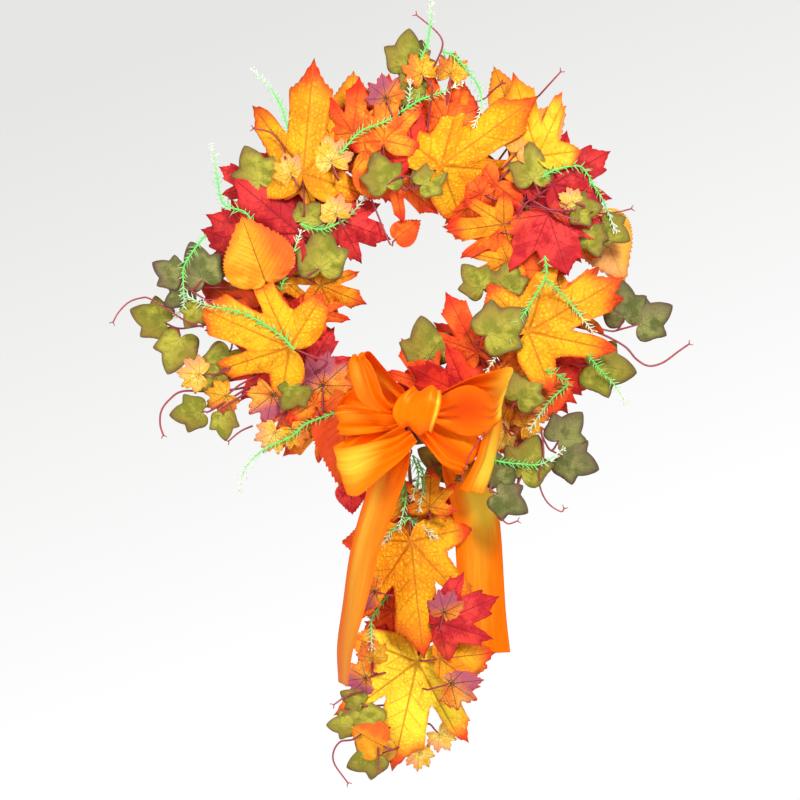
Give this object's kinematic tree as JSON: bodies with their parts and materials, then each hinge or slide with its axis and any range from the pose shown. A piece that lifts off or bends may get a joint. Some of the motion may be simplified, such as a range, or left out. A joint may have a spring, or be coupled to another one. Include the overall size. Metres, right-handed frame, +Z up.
{
  "type": "door wreath",
  "caption": "Harvest door wreath: twisted vine ring with silk maple, birch and ivy leaves, a hanging leaf swag and an orange satin bow.",
  "frame": {"origin": "the point at the top of the hanger loop's hole, where the loop rests on its hook", "axes": "+Z up along the hanging wreath, +Y into the door, +X to the right seen from the front"},
  "size_m": [0.5067, 0.1219, 0.6646],
  "materials": {
    "leaf_yellow": "embossed polyester leaf, yellow with red-orange tips",
    "leaf_gold": "polyester leaf, golden orange",
    "leaf_orange": "polyester leaf, yellow to orange",
    "leaf_red": "polyester leaf, red",
    "leaf_crimson": "polyester leaf, crimson with orange patches",
    "leaf_salmon": "polyester leaf, pale salmon and yellow",
    "leaf_green": "polyester ivy leaf, olive green with brown edges",
    "leaf_dark_green": "polyester ivy leaf, dark green with brown edges",
    "leaf_mixed": "small printed maple leaf, pale yellow and pink with dark veins",
    "sprig": "moulded plastic, bright green to white tips",
    "tendril": "plastic-coated wire, dark red",
    "stem": "plastic-coated wire, brown",
    "vine": "natural vine with bark",
    "wire": "brown florist's wire",
    "ribbon": "orange satin ribbon"
  },
  "bodies": {
    "root": {"bow_knot": "ribbon", "bow_loop_left": "ribbon", "bow_loop_lower_left": "ribbon", "bow_loop_lower_right": "ribbon", "bow_loop_right": "ribbon", "bow_loop_upper_left": "ribbon", "garland_stem": "stem", "hanger_loop": "wire", "ivy_inner_bottom": "leaf_green", "ivy_inner_left": "leaf_green", "ivy_inner_right": "leaf_green", "ivy_inner_top": "leaf_green", "ivy_left": "leaf_green", "ivy_lower_right": "leaf_dark_green", "ivy_outer_left": "leaf_green", "ivy_outer_right": "leaf_dark_green", "ivy_top": "leaf_green", "ivy_upper_right": "leaf_green", "leaf_birch_bottom_left": "leaf_orange", "leaf_birch_crown": "leaf_orange", "leaf_birch_left": "leaf_orange", "leaf_birch_lower_right": "leaf_orange", "leaf_birch_outer_right": "leaf_salmon", "leaf_birch_top": "leaf_gold", "leaf_birch_upper_right": "leaf_gold", "leaf_maple_dark_top": "leaf_red", "leaf_maple_inner_left": "leaf_gold", "leaf_maple_orange_inner": "leaf_orange", "leaf_maple_orange_lower_right": "leaf_orange", "leaf_maple_orange_top": "leaf_orange", "leaf_maple_pink_inner": "leaf_crimson", "leaf_maple_red_bottom": "leaf_red", "leaf_maple_red_left": "leaf_red", "leaf_maple_red_right": "leaf_red", "leaf_maple_red_upper_left": "leaf_crimson", "leaf_maple_red_upper_right": "leaf_crimson", "leaf_maple_yellow_inner_right": "leaf_gold", "leaf_maple_yellow_left": "leaf_yellow", "leaf_maple_yellow_right": "leaf_yellow", "leaf_maple_yellow_upper_left": "leaf_yellow", "leaf_maple_yellow_upper_right": "leaf_yellow", "sprig_left": "sprig", "sprig_right": "sprig", "swag_ring_wire": "wire", "tendril_left": "tendril", "tendril_right": "tendril", "tie_wire_1": "wire", "tie_wire_2": "wire", "tie_wire_3": "wire", "vine_strand_1": "vine", "vine_strand_2": "vine", "vine_strand_3": "vine"},
    "swag": {"swag_leaf_gold_top": "leaf_gold", "swag_leaf_red_left": "leaf_crimson", "swag_leaf_red_right": "leaf_red", "swag_leaf_yellow_bottom": "leaf_yellow", "swag_leaf_yellow_middle": "leaf_yellow", "swag_stem": "stem"},
    "left_tail": {"ribbon_tail_left": "ribbon"},
    "right_tail": {"ribbon_tail_right": "ribbon"}
  },
  "joints": [
    {"name": "swag_swing", "type": "hinge", "parent": "root", "child": "swag", "pos_m": [0, -0.0136, -0.2977], "axis": [0, 1, 0], "range_deg": [-6, 6]},
    {"name": "left_tail_swing", "type": "hinge", "parent": "root", "child": "left_tail", "pos_m": [-0.002, -0.0836, -0.2781], "axis": [0, 1, 0], "range_deg": [-2, 15], "stiffness_Nm_per_rad": 0.15},
    {"name": "right_tail_swing", "type": "hinge", "parent": "root", "child": "right_tail", "pos_m": [0.028, -0.0536, -0.2821], "axis": [0, 1, 0], "range_deg": [-15, 2], "stiffness_Nm_per_rad": 0.15}
  ]
}
